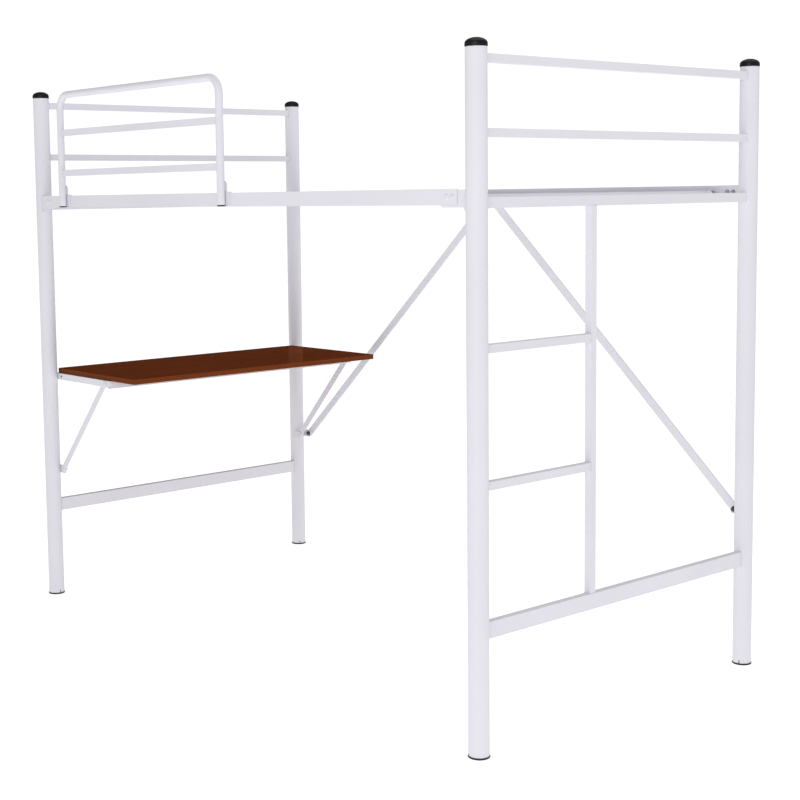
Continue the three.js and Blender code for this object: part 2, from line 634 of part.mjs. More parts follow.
// A folded plate that hangs over the near rail's web, with a tab up the back of the leg.
function guardHookGeometry() {
  const half = HOOK_WIDTH / 2;
  const tabHalf = HOOK_TAB_WIDTH / 2;
  const shoulder = RAIL_TOP + GAP + HOOK_THICKNESS;
  const back = outline([
    [-half, HOOK_BOTTOM], [half, HOOK_BOTTOM], [half, shoulder], [tabHalf, shoulder],
    [tabHalf, HOOK_TAB_TOP - HOOK_TAB_CHAMFER], [tabHalf - HOOK_TAB_CHAMFER, HOOK_TAB_TOP],
    [-tabHalf + HOOK_TAB_CHAMFER, HOOK_TAB_TOP], [-tabHalf, HOOK_TAB_TOP - HOOK_TAB_CHAMFER],
    [-tabHalf, shoulder], [-half, shoulder],
  ]);
  const outerLeaf = plateXZ(back, -HOOK_OUTER_Y, -HOOK_OUTER_Y + HOOK_THICKNESS);
  const innerY = -RAIL_INNER_Y + GAP;
  const bridge = block([-half, -HOOK_OUTER_Y + 1, RAIL_TOP + GAP], [half, innerY + HOOK_THICKNESS, shoulder]);
  const innerLeaf = block([-half, innerY, shoulder - HOOK_DEPTH], [half, innerY + HOOK_THICKNESS, shoulder]);
  return join(outerLeaf, bridge, innerLeaf);
}

function guardPlugGeometry() {
  const spigot = GUARD_TUBE_RADIUS - GUARD_TUBE_WALL - GAP;
  return latheZ([
    [0, 0], [GUARD_TUBE_RADIUS, 0], [GUARD_TUBE_RADIUS, GUARD_PLUG_FLANGE], [spigot, GUARD_PLUG_FLANGE],
    [spigot, GUARD_PLUG_FLANGE + GUARD_PLUG_DEPTH], [0, GUARD_PLUG_FLANGE + GUARD_PLUG_DEPTH],
  ], GUARD_TUBE_SEGMENTS);
}

function addGuard() {
  addPiece('guard_hoop', guardHoopGeometry(), 'white_steel');
  Object.entries(GUARD_BARS).forEach(([name, z]) => {
    addPiece(`guard_bar_${name}`, guardBarGeometry(), 'white_steel', [GUARD_LEFT_X, GUARD_Y, z]);
  });
  [['left', GUARD_LEFT_X], ['right', GUARD_RIGHT_X]].forEach(([name, x]) => {
    addPiece(`guard_hook_${name}`, guardHookGeometry(), 'white_steel', [x, 0, 0]);
    addPiece(`guard_plug_${name}`, guardPlugGeometry(), 'black_plastic', [x, GUARD_Y, GUARD_FOOT]);
  });
}

addPosts();
addEndFrames();
addLadder();
addSideRails();
addMattressBase();
addBraces();
addApexBolt();
addDesk();
addGuard();

// The guard stands further out than anything on the far side, so the bed is moved to centre its outline.
bed.position.y = -(GUARD_OUTER_Y + APEX_BOLT_OUTER_Y) / 2;
const loftBed = new THREE.Group();
loftBed.add(bed);

export default loftBed;
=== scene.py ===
"""Looks of the loft bed with desk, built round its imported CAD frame. Metres, +Z up, -Y is the open side."""
import json
import math
import random

import bmesh
import bpy
from mathutils import Matrix, Vector


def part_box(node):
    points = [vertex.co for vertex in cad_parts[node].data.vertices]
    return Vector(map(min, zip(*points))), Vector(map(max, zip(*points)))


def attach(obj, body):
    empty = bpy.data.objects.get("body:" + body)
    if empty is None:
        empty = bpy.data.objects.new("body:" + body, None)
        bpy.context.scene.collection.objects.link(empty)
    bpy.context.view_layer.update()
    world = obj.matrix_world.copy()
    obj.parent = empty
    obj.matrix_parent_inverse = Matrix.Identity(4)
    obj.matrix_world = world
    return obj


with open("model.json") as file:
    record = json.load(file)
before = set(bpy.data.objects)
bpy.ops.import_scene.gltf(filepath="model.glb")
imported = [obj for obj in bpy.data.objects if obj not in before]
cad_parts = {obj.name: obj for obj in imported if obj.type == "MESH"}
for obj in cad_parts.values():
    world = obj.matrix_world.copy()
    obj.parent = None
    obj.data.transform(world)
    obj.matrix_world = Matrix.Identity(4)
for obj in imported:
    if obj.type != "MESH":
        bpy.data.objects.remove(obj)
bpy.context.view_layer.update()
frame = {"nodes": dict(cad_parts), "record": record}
NODES = frame["nodes"]
FRAME_BODY = "bed_frame"
GUARD_BODY = "guard"

MM = 0.001
POST_RADIUS = 25.4 * MM
GUARD_TUBE_RADIUS = 11 * MM
PLATE_THICKNESS = 3.0 * MM
BAR_CORNER = 1.6 * MM
BOARD_CORNER = 8 * MM
TAB_ROOT = 12.0 * MM

# Bolts: where the side rails' ones stand, and how far the others are from the ends they hold.
RAIL_BOLTS_X = (913 * MM, 932 * MM)
RAIL_BOLT_Z = 1314 * MM
TAB_REACH = 12.0 * MM
STRUT_END = 11 * MM
ARM_BOLT_DEPTH = 6.4 * MM

# How far the edges are rounded: not at all, the board, thin plates and plastic, and bars.
NO_EDGE = 0.0
BOARD_EDGE = 0.3 * MM
FINE_EDGE = 0.5 * MM
BAR_EDGE = 1.6 * MM

# Points closer than this are merged, and these angles in degrees part flat faces, rounded edges and smooth
# shading.
MERGE_DISTANCE = 0.00002
FLAT_ANGLE = 0.4
EDGE_ANGLE = 38
SHADE_ANGLE = 24.0

# Camera: where it stands from the bed's own centre, how it is turned and its lens.
CAMERA_PLACE = (3.3728, -2.9643, 1.3233)
CAMERA_YAW = 140.401
CAMERA_PITCH = -5.682
CAMERA_ROLL = -0.845
CAMERA_LENS = 66.88
CAMERA_SHIFT = (0.10, -0.0715)

# Light: the even studio light, what shows in reflections, the backdrop, the floor's own glow, and the power
# of the key and top lights.
WORLD_LIGHT = 0.58
WORLD_REFLECTION = 0.16
BACKDROP = 1.05
FLOOR_GLOW = 0.56
FLOOR_REACH = 30.0
KEY_POWER = 28.0
TOP_POWER = 30.0

# The values between which most of a noise texture lies.
NOISE_SPREAD = (0.3, 0.7)


# ---- Small helpers -------------------------------------------------------------------------------------

def middle(node):
    """Centre of a CAD node's box."""
    low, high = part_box(node)
    return (low + high) / 2


def mesh_from(name, shape):
    """A mesh from a bmesh, which is then freed."""
    mesh = bpy.data.meshes.new(name)
    shape.to_mesh(mesh)
    shape.free()
    return mesh


def add_piece(name, shape, material, body, smooth_angle):
    """A new object from a bmesh, with its faces outward and its finish, riding on a body."""
    bmesh.ops.recalc_face_normals(shape, faces=shape.faces)
    mesh = mesh_from(name, shape)
    obj = bpy.data.objects.new(name, mesh)
    bpy.context.scene.collection.objects.link(obj)
    mesh.materials.append(material)
    for polygon in mesh.polygons:
        polygon.use_smooth = True
    mesh.set_sharp_from_angle(angle=math.radians(smooth_angle))
    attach(obj, body)


# ---- Materials -----------------------------------------------------------------------------------------

class Finish:
    """A node material with object coordinates in metres and helpers for layered noise."""

    def __init__(self, name):
        self.material = bpy.data.materials.new(name)
        self.material.use_nodes = True
        self.nodes = self.material.node_tree.nodes
        self.links = self.material.node_tree.links
        self.shader = self.nodes["Principled BSDF"]
        self.coordinates = self.nodes.new("ShaderNodeTexCoord").outputs["Object"]
        self.last_bump = None

    def stretched(self, scale):
        """Object coordinates scaled by a different amount along each axis."""
        mapping = self.nodes.new("ShaderNodeMapping")
        mapping.inputs["Scale"].default_value = scale
        self.links.new(self.coordinates, mapping.inputs["Vector"])
        return mapping.outputs["Vector"]

    def noise(self, scale, detail=2.0, roughness=0.5, vector=None):
        """Noise from 0 to 1, with scale in cells a metre."""
        node = self.nodes.new("ShaderNodeTexNoise")
        node.inputs["Scale"].default_value = scale
        node.inputs["Detail"].default_value = detail
        node.inputs["Roughness"].default_value = roughness
        self.links.new(vector or self.coordinates, node.inputs["Vector"])
        return node.outputs["Fac"]

    def ramp(self, value, low, high, spread=NOISE_SPREAD):
        """A colour between low and high, as value goes across the spread."""
        node = self.nodes.new("ShaderNodeValToRGB")
        node.color_ramp.elements[0].position = spread[0]
        node.color_ramp.elements[1].position = spread[1]
        node.color_ramp.elements[0].color = (*low, 1.0)
        node.color_ramp.elements[1].color = (*high, 1.0)
        self.links.new(value, node.inputs["Fac"])
        return node.outputs["Color"]

    def multiply(self, a, b):
        """The product of two colours."""
        node = self.nodes.new("ShaderNodeMix")
        node.data_type = "RGBA"
        node.blend_type = "MULTIPLY"
        node.inputs["Factor"].default_value = 1.0
        self.links.new(a, node.inputs["A"])
        self.links.new(b, node.inputs["B"])
        return node.outputs["Result"]

    def feed(self, socket, value):
        """Gives a socket a link, a colour or a number."""
        if isinstance(value, bpy.types.NodeSocket):
            self.links.new(value, socket)
        elif isinstance(value, tuple):
            socket.default_value = (*value, 1.0)
        else:
            socket.default_value = value

    def spread(self, value, low, high):
        """A number between low and high from a 0 to 1 value."""
        node = self.nodes.new("ShaderNodeMapRange")
        node.inputs["From Min"].default_value = NOISE_SPREAD[0]
        node.inputs["From Max"].default_value = NOISE_SPREAD[1]
        node.inputs["To Min"].default_value = low
        node.inputs["To Max"].default_value = high
        self.links.new(value, node.inputs["Value"])
        return node.outputs["Result"]

    def bump(self, height, distance, strength):
        """Adds a layer of relief on top of those before it."""
        node = self.nodes.new("ShaderNodeBump")
        node.inputs["Strength"].default_value = strength
        node.inputs["Distance"].default_value = distance
        self.links.new(height, node.inputs["Height"])
        if self.last_bump:
            self.links.new(self.last_bump, node.inputs["Normal"])
        self.last_bump = node.outputs["Normal"]
        self.links.new(self.last_bump, self.shader.inputs["Normal"])

    def set(self, **values):
        """Sets the shader's sockets, with _ for each space in their names."""
        for name, value in values.items():
            self.feed(self.shader.inputs[name.replace("_", " ")], value)


def powder_coat(name, colour, variation=0.025):
    """Satin powder coat: a faint orange peel, slow drift of tone and a little dust in the gloss."""
    finish = Finish(name)
    pale = tuple(min(1.0, c * (1 + variation)) for c in colour)
    deep = tuple(c * (1 - variation) for c in colour)
    drift = finish.ramp(finish.noise(2.4, 3.0), deep, pale)
    speck = finish.ramp(finish.noise(420.0, 2.0), (0.975, 0.975, 0.975), (1.0, 1.0, 1.0), (0.32, 0.5))
    finish.set(
        Base_Color=finish.multiply(drift, speck),
        Roughness=finish.spread(finish.noise(38.0, 3.0), 0.40, 0.52),
        Specular_IOR_Level=0.22,
    )
    finish.bump(finish.noise(260.0, 1.0), 0.00012, 0.35)
    finish.bump(finish.noise(1500.0, 1.0), 0.00003, 0.4)
    return finish.material


def moulded_plastic(name, colour):
    """Black moulded plastic with a fine spark-eroded grain and slight scuffs."""
    finish = Finish(name)
    worn = tuple(min(1.0, c * 2.2 + 0.004) for c in colour)
    finish.set(
        Base_Color=finish.ramp(finish.noise(160.0, 5.0, 0.65), colour, worn, (0.5, 0.78)),
        Roughness=finish.spread(finish.noise(90.0, 3.0), 0.26, 0.42),
        Specular_IOR_Level=0.34,
    )
    finish.bump(finish.noise(1900.0, 2.0), 0.00005, 0.5)
    return finish.material


def brown_laminate(name):
    """Dark brown laminate of the desk top: long faint grain and a gloss that keeps the board's colour."""
    finish = Finish(name)
    along = finish.stretched((46.0, 2.2, 46.0))
    fine = finish.stretched((420.0, 14.0, 420.0))
    grain_noise = finish.noise(1.0, 5.0, 0.6, along)
    grain = finish.ramp(grain_noise, (0.108, 0.0235, 0.0064), (0.146, 0.0340, 0.0094))
    pores = finish.ramp(finish.noise(1.0, 2.0, 0.5, fine), (0.86, 0.84, 0.82), (1.0, 1.0, 1.0), (0.36, 0.5))
    finish.set(
        Base_Color=finish.multiply(grain, pores),
        Roughness=finish.spread(finish.noise(24.0, 3.0), 0.13, 0.21),
        Metallic=0.15,
        Specular_Tint=(0.96, 0.28, 0.065),
        Specular_IOR_Level=0.0,
    )
    finish.bump(finish.noise(1.0, 2.0, 0.5, fine), 0.00003, 0.25)
    return finish.material


def edge_banding(name):
    """The board's glued edge strip: the same brown, duller, with its own grain, and a little lighter as
    painted light for the front light its edges catch.
    """
    finish = Finish(name)
    along = finish.stretched((3.0, 3.0, 300.0))
    fine = finish.stretched((30.0, 30.0, 900.0))
    grain_noise = finish.noise(1.0, 4.0, 0.6, along)
    finish.set(
        Base_Color=finish.ramp(grain_noise, (0.141, 0.0345, 0.0087), (0.175, 0.0440, 0.0116)),
        Roughness=finish.spread(finish.noise(60.0, 3.0), 0.42, 0.55),
        Specular_IOR_Level=0.02,
    )
    finish.bump(finish.noise(1.0, 3.0, 0.6, fine), 0.00003, 0.3)
    return finish.material


def plated_steel(name, colour, roughness):
    """Zinc-plated or blackened steel of the fasteners: streaky, with duller patches."""
    finish = Finish(name)
    dull = tuple(c * 0.72 for c in colour)
    finish.set(
        Base_Color=finish.ramp(finish.noise(240.0, 4.0, 0.6), dull, colour),
        Roughness=finish.spread(finish.noise(330.0, 3.0), roughness - 0.07, roughness + 0.09),
        Metallic=0.9,
    )
    finish.bump(finish.noise(1300.0, 2.0), 0.00004, 0.5)
    return finish.material


WHITE = powder_coat("white_powder_coat", (0.765, 0.755, 0.808))
# A darker copy of the white coat for the mattress base: painted shade for the base lying low between the side
# rails.
WHITE_PAINTED_SHADE = powder_coat("white_coat_painted_shade", (0.70, 0.69, 0.735), 0.04)
BEAD = powder_coat("white_coated_weld", (0.725, 0.715, 0.765), 0.04)
BLACK = moulded_plastic("black_plastic", (0.0065, 0.0065, 0.0068))
BROWN = brown_laminate("brown_laminate")
# The edge strip's brown is a little lighter than the board's, which is painted light on the edges.
BANDING_PAINTED_LIGHT = edge_banding("brown_edge_banding_painted_light")
ZINC = plated_steel("zinc_plate", (0.62, 0.62, 0.64), 0.32)
DARK_STEEL = plated_steel("blackened_steel", (0.11, 0.11, 0.12), 0.38)
# The grey_steel slot takes that darker copy of the white coat, which is painted shade.
SLOT_MATERIAL = {
    "white_steel": WHITE, "grey_steel": WHITE_PAINTED_SHADE, "black_plastic": BLACK, "brown_board": BROWN,
    "plated_steel": ZINC,
}


# ---- The CAD nodes: softened edges, even shading and their finish --------------------------------------

def smooth_by_angle_group(angle):
    """A geometry node group that shades smooth except across edges sharper than the angle."""
    group = bpy.data.node_groups.new("shade_by_angle", "GeometryNodeTree")
    group.interface.new_socket("Geometry", in_out="INPUT", socket_type="NodeSocketGeometry")
    group.interface.new_socket("Geometry", in_out="OUTPUT", socket_type="NodeSocketGeometry")
    source = group.nodes.new("NodeGroupInput")
    sink = group.nodes.new("NodeGroupOutput")
    faces = group.nodes.new("GeometryNodeSetShadeSmooth")
    edges = group.nodes.new("GeometryNodeSetShadeSmooth")
    edges.domain = "EDGE"
    edge_angle = group.nodes.new("GeometryNodeInputMeshEdgeAngle")
    compare = group.nodes.new("FunctionNodeCompare")
    compare.data_type = "FLOAT"
    compare.operation = "LESS_EQUAL"
    compare.inputs["B"].default_value = math.radians(angle)
    group.links.new(source.outputs["Geometry"], faces.inputs["Geometry"])
    group.links.new(faces.outputs["Geometry"], edges.inputs["Geometry"])
    group.links.new(edge_angle.outputs["Unsigned Angle"], compare.inputs["A"])
    group.links.new(compare.outputs["Result"], edges.inputs["Shade Smooth"])
    group.links.new(edges.outputs["Geometry"], sink.inputs["Geometry"])
    return group


SHADE_BY_ANGLE = smooth_by_angle_group(SHADE_ANGLE)


def soften(obj, width, segments):
    """Welds the mesh, merges its flat faces and rounds its edges by width."""
    weld = obj.modifiers.new("weld", "WELD")
    weld.merge_threshold = MERGE_DISTANCE
    flat = obj.modifiers.new("flat", "DECIMATE")
    flat.decimate_type = "DISSOLVE"
    flat.angle_limit = math.radians(FLAT_ANGLE)
    if width:
        bevel = obj.modifiers.new("edge", "BEVEL")
        bevel.width = width
        bevel.segments = segments
        bevel.limit_method = "ANGLE"
        bevel.angle_limit = math.radians(EDGE_ANGLE)
        bevel.use_clamp_overlap = True
    shade = obj.modifiers.new("shade", "NODES")
    shade.node_group = SHADE_BY_ANGLE
    even = obj.modifiers.new("even", "WEIGHTED_NORMAL")
    even.keep_sharp = True


def edge_width(node):
    """How much the edges of a node are rounded, by what it is made from."""
    moulded = ("cap_", "foot_", "guard_plug_")
    plates = ("rail_bracket", "guard_hook", "brace_", "desk_strut", "desk_arm", "side_rail")
    if node == "desk_board":
        return BOARD_EDGE
    if node.startswith(("post_", "guard_hoop", "brace_apex_bolt")):
        return NO_EDGE
    if node.startswith(moulded + plates):
        return FINE_EDGE
    return BAR_EDGE


def dress_nodes():
    """Gives each CAD node its finish, even shading and rounded edges."""
    slots = {part["node"]: part["material_slot"] for part in frame["record"]["subparts"]}
    for name, obj in NODES.items():
        material = SLOT_MATERIAL[slots[name]]
        obj.data.materials.clear()
        obj.data.materials.append(material)
        if "custom_normal" in obj.data.attributes:
            obj.data.attributes.remove(obj.data.attributes["custom_normal"])
        width = edge_width(name)
        soften(obj, width, 3 if width == BAR_EDGE else 2)


dress_nodes()


# ---- Weld beads ----------------------------------------------------------------------------------------

BEAD_STEP = 2.0 * MM
BEAD_SMOOTH_ANGLE = 60.0


def add_sweep(mesh, path, radius, rng, closed=True, sides=7):
    """Adds a rippled bead along a path of points to a bmesh."""
    ripple, ripple_turn, unevenness = 0.16, 1.9, 0.06
    taper = 0.35
    slant = Vector((0.31, 0.17, 0.93))
    count = len(path)
    rings = []
    for i, point in enumerate(path):
        before = path[i - 1] if closed or i > 0 else path[i]
        after = path[(i + 1) % count] if closed or i < count - 1 else path[i]
        tangent = (after - before).normalized()
        side = tangent.cross(slant).normalized()
        up = tangent.cross(side)
        wave = ripple * math.sin(i * ripple_turn)
        size = radius * (1.0 + wave + rng.uniform(-unevenness, unevenness))
        if not closed and i in (0, count - 1):
            size *= taper
        ring = [
            mesh.verts.new(point + size * (math.cos(a) * side + math.sin(a) * up))
            for a in (2 * math.pi * k / sides for k in range(sides))
        ]
        rings.append(ring)
    last = count if closed else count - 1
    for i in range(last):
        a, b = rings[i], rings[(i + 1) % count]
        for k in range(sides):
            mesh.faces.new((a[k], a[(k + 1) % sides], b[(k + 1) % sides], b[k]))
    if not closed:
        mesh.faces.new(rings[0][::-1])
        mesh.faces.new(rings[-1])


def rounded_rectangle(width, height, corner, step):
    """Points round a rectangle with round corners, evenly spaced, as (u, v) pairs."""
    corner_steps = 3
    corners = []
    for cu, cv, start in ((1, 1, 0), (-1, 1, 90), (-1, -1, 180), (1, -1, 270)):
        for k in range(corner_steps + 1):
            angle = math.radians(start + 90 * k / corner_steps)
            corners.append(Vector((
                cu * (width / 2 - corner) + corner * math.cos(angle),
                cv * (height / 2 - corner) + corner * math.sin(angle),
            )))
    points = []
    for i, a in enumerate(corners):
        b = corners[(i + 1) % len(corners)]
        pieces = max(1, round((b - a).length / step))
        points += [a.lerp(b, k / pieces) for k in range(pieces)]
    return points


def saddle_path(centre, along, width, height, radius):
    """The line where a rectangular bar meets a round upright.

    along is the unit vector from the upright to the bar. width is across the bar in plan, height along Z.
    """
    stand_off = 0.4 * MM
    across = Vector((-along.y, along.x, 0.0))
    path = []
    for u, v in rounded_rectangle(width, height, BAR_CORNER, BEAD_STEP):
        reach = math.sqrt(max(radius * radius - u * u, 0.0))
        path.append(centre + across * u + along * (reach + stand_off) + Vector((0, 0, v)))
    return path


def flat_path(centre, u_axis, v_axis, width, height):
    """The line round a rectangular end that meets a flat face."""
    outline = rounded_rectangle(width, height, BAR_CORNER, BEAD_STEP)
    return [centre + u_axis * u + v_axis * v for u, v in outline]


def bead_object(name, paths, radius, body, seed, closed=True, material=BEAD):
    """One object with a bead along each of the paths."""
    rng = random.Random(seed)
    mesh = bmesh.new()
    for path in paths:
        add_sweep(mesh, path, radius, rng, closed)
    add_piece(name, mesh, material, body, BEAD_SMOOTH_ANGLE)


def end_frame_beads():
    """Welds between the end frames' rails and the posts."""
    rails = ("top_rail", "middle_rail", "bed_crossbar", "lower_crossbar")
    for seed, end in enumerate(("left", "right")):
        paths = []
        for rail in rails:
            node = f"{end}_{rail}"
            low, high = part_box(node)
            for side, post in (("near", f"post_near_{end}"), ("far", f"post_far_{end}")):
                centre = middle(post)
                centre.z = (low.z + high.z) / 2
                along = Vector((0, 1 if side == "near" else -1, 0))
                paths.append(saddle_path(centre, along, high.x - low.x, high.z - low.z, POST_RADIUS))
        bead_object(f"{end}_end_weld_beads", paths, radius=1.7 * MM, body=FRAME_BODY, seed=11 + seed)


def ladder_beads():
    """Welds at both ends of the rungs and of the stile."""
    x_axis, y_axis, z_axis = Vector((1, 0, 0)), Vector((0, 1, 0)), Vector((0, 0, 1))
    paths = []
    for rung in ("ladder_rung_lower", "ladder_rung_upper"):
        low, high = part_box(rung)
        post = middle("post_near_right")
        post.z = (low.z + high.z) / 2
        paths.append(saddle_path(post, y_axis, high.x - low.x, high.z - low.z, POST_RADIUS))
        end = Vector(((low.x + high.x) / 2, high.y, (low.z + high.z) / 2))
        paths.append(flat_path(end, x_axis, z_axis, high.x - low.x, high.z - low.z))
    low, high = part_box("ladder_stile")
    for z in (low.z, high.z):
        centre = Vector(((low.x + high.x) / 2, (low.y + high.y) / 2, z))
        paths.append(flat_path(centre, x_axis, y_axis, high.x - low.x, high.y - low.y))
    bead_object("ladder_weld_beads", paths, radius=1.6 * MM, body=FRAME_BODY, seed=21)


def guard_legs():
    """The X places of the hoop's left and right legs."""
    low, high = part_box("guard_hoop")
    return low.x + GUARD_TUBE_RADIUS, high.x - GUARD_TUBE_RADIUS


def guard_beads():
    """Welds between the guard's bars and the legs of its hoop."""
    paths = []
    for bar in ("guard_bar_lower", "guard_bar_upper"):
        bar_low, bar_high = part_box(bar)
        width, height = bar_high.y - bar_low.y, bar_high.z - bar_low.z
        for x, sense in zip(guard_legs(), (1, -1)):
            centre = Vector((x, (bar_low.y + bar_high.y) / 2, (bar_low.z + bar_high.z) / 2))
            along = Vector((sense, 0, 0))
            paths.append(saddle_path(centre, along, width, height, GUARD_TUBE_RADIUS))
    bead_object("guard_weld_beads", paths, radius=1.3 * MM, body=GUARD_BODY, seed=31)


def upright_seams(node, post, thickness):
    """Two upright lines, one on each face of a plate across Y, where it meets a post."""
    stand_off = 0.3 * MM
    low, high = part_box(node)
    centre = middle(post)
    side = 1 if centre.y > 0 else -1
    sense = 1 if (low.x + high.x) / 2 > centre.x else -1
    outer = high.y if side > 0 else low.y
    seams = []
    for y in (outer, outer - side * thickness):
        offset = y - centre.y
        reach = math.sqrt(max(POST_RADIUS ** 2 - offset ** 2, TAB_ROOT ** 2))
        x = centre.x + sense * (reach + stand_off)
        count = max(3, round((high.z - low.z) / BEAD_STEP))
        heights = [low.z + (high.z - low.z) * (k + 0.5) / count for k in range(count)]
        seams.append([Vector((x, y, z)) for z in heights])
    return seams


def plate_beads():
    """Welds of the brackets and tabs on the posts."""
    plates = [
        (f"rail_bracket_{side}_{end}", f"post_{side}_{end}")
        for side in ("near", "far") for end in ("left", "right")
    ]
    plates += [(f"brace_tab_{end}", f"post_far_{end}") for end in ("left", "right")]
    plates += [
        (f"desk_{kind}_tab_{side}", f"post_{side}_left")
        for kind in ("arm", "strut") for side in ("near", "far")
    ]
    seams = [seam for node, post in plates for seam in upright_seams(node, post, PLATE_THICKNESS)]
    bead_object("plate_weld_beads", seams, radius=1.6 * MM, body=FRAME_BODY, seed=41, closed=False)


def hook_beads():
    """Welds between the guard's legs and the tabs of its hooks."""
    half_gap = 6 * MM
    stand_off = 0.9 * MM
    top_depth, bottom_depth = 3 * MM, 27 * MM
    steps = 12
    seams = []
    for hook, leg_x in zip(("guard_hook_left", "guard_hook_right"), guard_legs()):
        low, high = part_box(hook)
        bottom, top = high.z - bottom_depth, high.z - top_depth
        heights = [bottom + (top - bottom) * k / steps for k in range(steps + 1)]
        for x in (leg_x - half_gap, leg_x + half_gap):
            seams.append([Vector((x, low.y - stand_off, z)) for z in heights])
    bead_object("guard_hook_weld_beads", seams, radius=1.4 * MM, body=GUARD_BODY, seed=51, closed=False)


def base_beads():
    """Welds between the slats and the long bars of the mattress base."""
    x_axis, z_axis = Vector((1, 0, 0)), Vector((0, 0, 1))
    paths = []
    for node in sorted(name for name in NODES if name.startswith("slat_")):
        low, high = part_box(node)
        for y in (low.y, high.y):
            centre = Vector(((low.x + high.x) / 2, y, (low.z + high.z) / 2))
            paths.append(flat_path(centre, x_axis, z_axis, high.x - low.x, high.z - low.z))
    # The base's beads take the same darker copy of the white coat, painted shade.
    bead_object(
        "base_weld_beads", paths, radius=1.2 * MM, body=FRAME_BODY, seed=61,
        material=WHITE_PAINTED_SHADE,
    )


end_frame_beads()
ladder_beads()
guard_beads()
plate_beads()
hook_beads()
base_beads()


# ---- Fasteners -----------------------------------------------------------------------------------------

HEAD_SIDES = 28
SHANK_SIDES = 20
HARDWARE_SMOOTH_ANGLE = 30.0


def turned(mesh, profile, sides, place, turn=0.0):
    """Adds a solid turned about Z from (radius, height) points to a bmesh. place puts it on the bed."""
    rings = []
    for radius, height in profile:
        if radius < 1e-6:
            rings.append([mesh.verts.new(place @ Vector((0, 0, height)))])
            continue
        rings.append([
            mesh.verts.new(place @ Vector((radius * math.cos(a), radius * math.sin(a), height)))
            for a in (turn + 2 * math.pi * k / sides for k in range(sides))
        ])
    for a, b in zip(rings, rings[1:]):
        for k in range(sides):
            n = (k + 1) % sides
            if len(a) == 1:
                mesh.faces.new((a[0], b[k], b[n]))
            elif len(b) == 1:
                mesh.faces.new((a[k], a[n], b[0]))
            else:
                mesh.faces.new((a[k], a[n], b[n], b[k]))


def facing(point, direction):
    """A matrix that puts Z = 0 at the point and +Z along the direction."""
    rotation = Vector(direction).to_track_quat("Z", "Y").to_matrix().to_4x4()
    return Matrix.Translation(point) @ rotation


def washer(mesh, place, radius, thickness):
    """A flat washer with its outer rim broken."""
    rim = radius - 0.4 * MM
    profile = [(0, 0), (radius, 0), (radius, thickness * 0.7), (rim, thickness), (0, thickness)]
    turned(mesh, profile, HEAD_SIDES, place)


def hex_head(mesh, place, radius, height, turn):
    """A hexagon with a chamfered rim and a slightly dished face."""
    rim, dish = height * 0.82, height * 0.93
    profile = [
        (0, 0), (radius, 0), (radius, rim), (radius * 0.9, height),
        (radius * 0.62, height), (radius * 0.56, dish), (0, dish),
    ]
    turned(mesh, profile, 6, place, turn)


def domed_head(mesh, place, radius, height):
    """A low furniture bolt head with a rounded rim."""
    steps = 6
    profile = [(0, 0), (radius, 0), (radius, height * 0.25)]
    for k in range(1, steps + 1):
        angle = math.radians(90 * k / steps)
        profile.append((radius * (0.45 + 0.55 * math.cos(angle)), height * (0.25 + 0.75 * math.sin(angle))))
    profile += [(radius * 0.40, height * 0.55), (0, height * 0.5)]
    turned(mesh, profile, HEAD_SIDES, place)


def threaded_end(mesh, place, radius, length):
    """The bolt's end past its nut, with a few thread ridges."""
    pitch = 1.25 * MM
    profile = [(0, 0)]
    turns = max(2, int(length / pitch))
    for k in range(turns):
        profile += [(radius, (k + 0.25) * pitch), (radius * 0.86, (k + 0.75) * pitch)]
    profile += [(radius * 0.8, turns * pitch), (0, turns * pitch)]
    turned(mesh, profile, SHANK_SIDES, place)


def add_hardware(name, mesh, material):
    """An object of fasteners on the bed's frame."""
    add_piece(name, mesh, material, FRAME_BODY, HARDWARE_SMOOTH_ANGLE)


class BoltSet:
    """The heads and nuts of a group of equal bolts that lie along Y, gathered in two objects."""

    WASHER_THICKNESS = 1.2 * MM
    END_LENGTH = 3.8 * MM
    TURN_STEP = 0.37

    def __init__(self, name, head_radius, nut_radius, head_finish, head_slot, nut_finish):
        self.name = name
        self.head_radius = head_radius
        self.nut_radius = nut_radius
        self.head_finish = head_finish
        self.head_slot = head_slot
        self.nut_finish = nut_finish
        self.heads = bmesh.new()
        self.nuts = bmesh.new()
        self.count = 0

    def add(self, x, z, head_face, nut_face):
        """One bolt at x and z: its head lies on the plane Y = head_face and its nut on Y = nut_face."""
        self.count += 1
        head_radius, nut_radius = self.head_radius, self.nut_radius
        head_height, nut_height = 0.34 * head_radius, 0.85 * nut_radius
        sense = 1 if head_face > nut_face else -1
        outward, inward = (0, sense, 0), (0, -sense, 0)
        domed_head(self.heads, facing((x, head_face, z), outward), head_radius, head_height)
        grip = abs(head_face - nut_face)
        shank = 0.5 * nut_radius
        shank_profile = [(0, 0), (shank, 0), (shank, grip), (0, grip)]
        turned(self.nuts, shank_profile, SHANK_SIDES, facing((x, head_face, z), inward))
        washer(self.nuts, facing((x, nut_face, z), inward), 1.25 * nut_radius, self.WASHER_THICKNESS)
        washer_face = nut_face - sense * self.WASHER_THICKNESS
        nut_place = facing((x, washer_face, z), inward)
        hex_head(self.nuts, nut_place, nut_radius, nut_height, self.TURN_STEP * self.count)
        end_face = washer_face - sense * 0.9 * nut_height
        threaded_end(self.nuts, facing((x, end_face, z), inward), 0.52 * nut_radius, self.END_LENGTH)

    def finish(self):
        """Makes the two objects."""
        add_hardware(f"{self.name}_heads", self.heads, self.head_finish)
        add_hardware(f"{self.name}_nuts", self.nuts, self.nut_finish)


